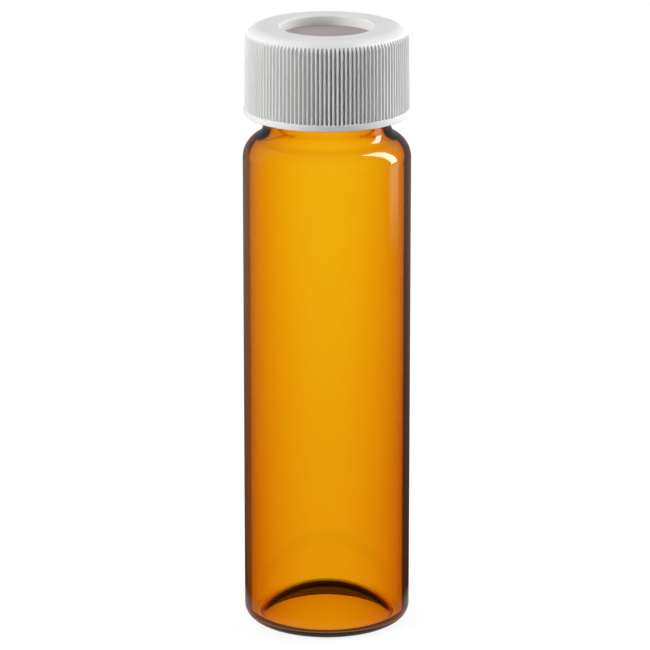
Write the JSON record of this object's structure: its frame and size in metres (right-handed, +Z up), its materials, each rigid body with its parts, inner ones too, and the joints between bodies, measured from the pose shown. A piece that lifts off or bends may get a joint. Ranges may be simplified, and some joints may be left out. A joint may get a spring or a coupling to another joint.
{
  "type": "glass sample vial",
  "caption": "Amber tubing-glass sample vial with a threaded neck, a white open-top screw cap with fine grip ribs and a septum under its hole.",
  "frame": {"origin": "centre of the base, on the surface that the vial stands on", "axes": "+Z up along the vial's axis, towards the cap; X and Y are alike"},
  "size_m": [0.0272, 0.0272, 0.0998],
  "materials": {
    "amber_glass": "clear amber, fire-polished",
    "septum_rubber": "matt, slightly translucent",
    "white_plastic": "moulded, satin"
  },
  "bodies": {
    "vial": {"glass_vial": "amber_glass"},
    "septum": {"septum": "septum_rubber"},
    "cap": {"screw_cap": "white_plastic"}
  },
  "joints": [
    {"name": "cap_lift", "type": "slide", "parent": "vial", "child": "septum", "axis": [0, 0, 1], "range_m": [0, 0.00397]},
    {"name": "cap_turn", "type": "hinge", "parent": "septum", "child": "cap", "pos_m": [0, 0, 0.0926], "axis": [0, 0, 1], "range_deg": [0, 450]}
  ],
  "couplings": [
    {"joint": "cap_lift", "follows": "cap_turn", "m_per_rad": 0.00050532}
  ]
}
